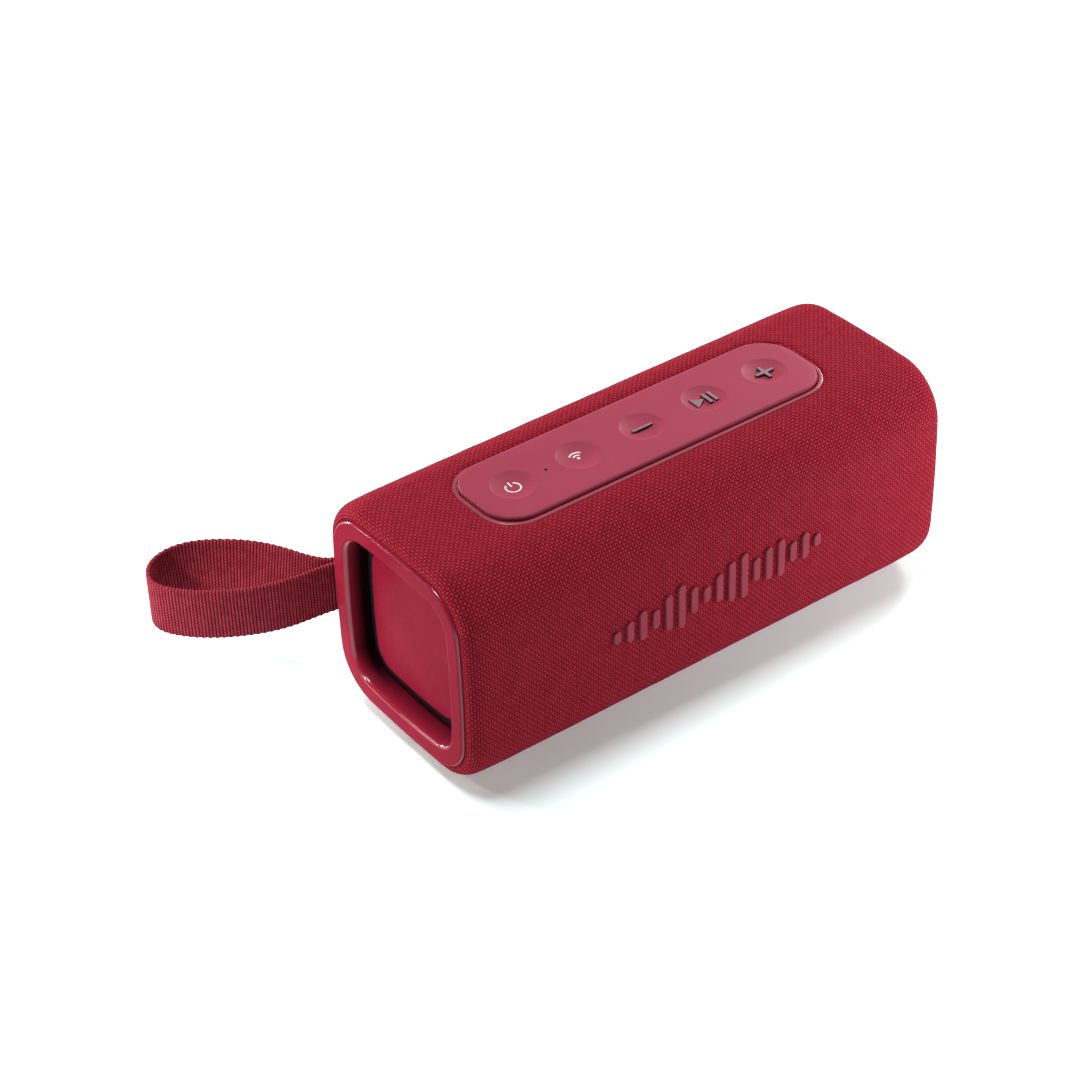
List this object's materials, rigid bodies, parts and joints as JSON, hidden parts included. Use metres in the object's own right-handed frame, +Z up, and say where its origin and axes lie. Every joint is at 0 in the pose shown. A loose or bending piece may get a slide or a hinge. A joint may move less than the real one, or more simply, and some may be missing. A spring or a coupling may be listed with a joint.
{
  "type": "portable wireless speaker",
  "caption": "Portable speaker: fabric-wrapped barrel with a keypad on top, a passive radiator in each end, drivers behind the front cloth and a webbing wrist strap.",
  "frame": {"origin": "on the surface that the foot stands on, under the middle of the barrel", "axes": "+X along the barrel away from the strap, -Y the front with the badge, +Z up"},
  "size_m": [0.2026, 0.1015, 0.0676],
  "materials": {
    "red_fabric": "woven, matt",
    "red_plastic": "satin moulded",
    "rose_rubber": "soft matt",
    "strap_web": "ribbed webbing",
    "black_plastic": "moulded",
    "black_rubber": "matt",
    "steel": "brushed",
    "zinc_steel": "plated",
    "ferrite": "sintered",
    "cone_paper": "pressed",
    "spider_cloth": "impregnated",
    "copper": "wound",
    "board_green": "solder mask",
    "chip_black": "moulded",
    "cell_wrap": "shrink wrap",
    "foam": "open cell",
    "lead_jacket": "smooth",
    "lens": "clear"
  },
  "bodies": {
    "cabinet": {"fabric_sleeve": "red_fabric", "front_shell": "black_plastic", "rear_shell": "black_plastic", "shell_seal": "black_rubber", "shell_screws": "zinc_steel", "radiator_screws": "zinc_steel", "driver_screws": "zinc_steel", "keypad_bezel": "red_plastic", "keypad_sheet": "rose_rubber", "status_led": "lens", "key_board": "board_green", "key_switches": "chip_black", "main_board": "board_green", "board_chips": "chip_black", "board_screws": "zinc_steel", "battery_cells": "cell_wrap", "battery_cradle": "black_plastic", "acoustic_foam": "foam", "speaker_leads": "lead_jacket", "port_bezel": "red_plastic", "port_board": "board_green", "usb_socket": "steel", "aux_socket": "black_plastic", "strap_mount": "red_plastic", "strap_pin": "steel", "rubber_foot": "black_rubber", "waveform_badge": "rose_rubber", "left_end_ring": "red_plastic", "left_radiator_frame": "black_plastic", "left_radiator_surround": "black_rubber", "left_driver_grille": "zinc_steel", "left_driver_basket": "black_plastic", "left_driver_surround": "black_rubber", "left_driver_spider": "spider_cloth", "left_driver_magnet": "ferrite", "left_motor_steel": "zinc_steel", "right_end_ring": "red_plastic", "right_radiator_frame": "black_plastic", "right_radiator_surround": "black_rubber", "right_driver_grille": "zinc_steel", "right_driver_basket": "black_plastic", "right_driver_surround": "black_rubber", "right_driver_spider": "spider_cloth", "right_driver_magnet": "ferrite", "right_motor_steel": "zinc_steel"},
    "key_power": {"key_power": "rose_rubber"},
    "key_wireless": {"key_wireless": "rose_rubber"},
    "key_minus": {"key_minus": "rose_rubber"},
    "key_play": {"key_play": "rose_rubber"},
    "key_plus": {"key_plus": "rose_rubber"},
    "left_radiator": {"left_radiator_plate": "red_plastic", "left_radiator_weight": "steel"},
    "left_cone": {"left_driver_cone": "cone_paper", "left_voice_coil": "copper"},
    "right_radiator": {"right_radiator_plate": "red_plastic", "right_radiator_weight": "steel"},
    "right_cone": {"right_driver_cone": "cone_paper", "right_voice_coil": "copper"},
    "port_door": {"port_door": "rose_rubber"},
    "strap": {"strap_webbing": "strap_web"}
  },
  "joints": [
    {"name": "press_power", "type": "slide", "parent": "cabinet", "child": "key_power", "axis": [0, 0, -1], "range_m": [0, 0.0005], "stiffness_N_per_m": 1200},
    {"name": "press_wireless", "type": "slide", "parent": "cabinet", "child": "key_wireless", "axis": [0, 0, -1], "range_m": [0, 0.0005], "stiffness_N_per_m": 1200},
    {"name": "press_minus", "type": "slide", "parent": "cabinet", "child": "key_minus", "axis": [0, 0, -1], "range_m": [0, 0.0005], "stiffness_N_per_m": 1200},
    {"name": "press_play", "type": "slide", "parent": "cabinet", "child": "key_play", "axis": [0, 0, -1], "range_m": [0, 0.0005], "stiffness_N_per_m": 1200},
    {"name": "press_plus", "type": "slide", "parent": "cabinet", "child": "key_plus", "axis": [0, 0, -1], "range_m": [0, 0.0005], "stiffness_N_per_m": 1200},
    {"name": "left_radiator_travel", "type": "slide", "parent": "cabinet", "child": "left_radiator", "axis": [-1, 0, 0], "range_m": [-0.003, 0.003], "stiffness_N_per_m": 1200, "deforming": ["left_radiator_surround"]},
    {"name": "right_radiator_travel", "type": "slide", "parent": "cabinet", "child": "right_radiator", "axis": [1, 0, 0], "range_m": [-0.003, 0.003], "stiffness_N_per_m": 1200, "deforming": ["right_radiator_surround"]},
    {"name": "left_cone_travel", "type": "slide", "parent": "cabinet", "child": "left_cone", "axis": [0, -1, 0], "range_m": [-0.0015, 0.0015], "stiffness_N_per_m": 1500, "deforming": ["left_driver_surround", "left_driver_spider"]},
    {"name": "right_cone_travel", "type": "slide", "parent": "cabinet", "child": "right_cone", "axis": [0, -1, 0], "range_m": [-0.0015, 0.0015], "stiffness_N_per_m": 1500, "deforming": ["right_driver_surround", "right_driver_spider"]},
    {"name": "port_door_hinge", "type": "hinge", "parent": "cabinet", "child": "port_door", "pos_m": [0.03845, 0.031, 0.034], "axis": [0, 0, 1], "range_deg": [0, 90]},
    {"name": "strap_swing", "type": "hinge", "parent": "cabinet", "child": "strap", "pos_m": [-0.066, 0.0304, 0.032], "axis": [0, 0, 1], "range_deg": [-100, 0]}
  ]
}
